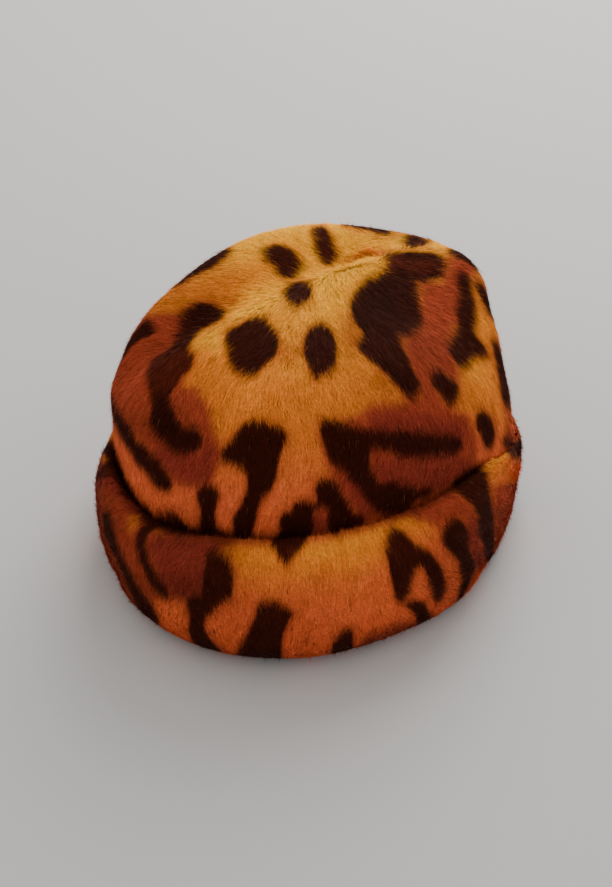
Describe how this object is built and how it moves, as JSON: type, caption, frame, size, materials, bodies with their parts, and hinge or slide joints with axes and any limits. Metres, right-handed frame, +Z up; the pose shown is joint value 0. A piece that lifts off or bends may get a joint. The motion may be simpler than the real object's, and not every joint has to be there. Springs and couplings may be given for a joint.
{
  "type": "cuffed faux-fur beanie",
  "caption": "Soft round beanie in short leopard-print faux fur with a thick folded-up cuff and a diagonal fold across the top.",
  "frame": {"origin": "middle of the hat's plan box, on the surface that it rests on", "axes": "+Z up out of the top of the hat, -Y the front that the picture shows, +X to the right as seen from the front"},
  "size_m": [0.2398, 0.2476, 0.1585],
  "materials": {
    "crown_fur": "short combed faux fur, tan with rust patches and near-black leopard spots",
    "cuff_fur": "the same fur cloth, folded up, pile lying upwards and sideways"
  },
  "bodies": {
    "root": {"crown": "crown_fur", "cuff": "cuff_fur"}
  },
  "joints": []
}
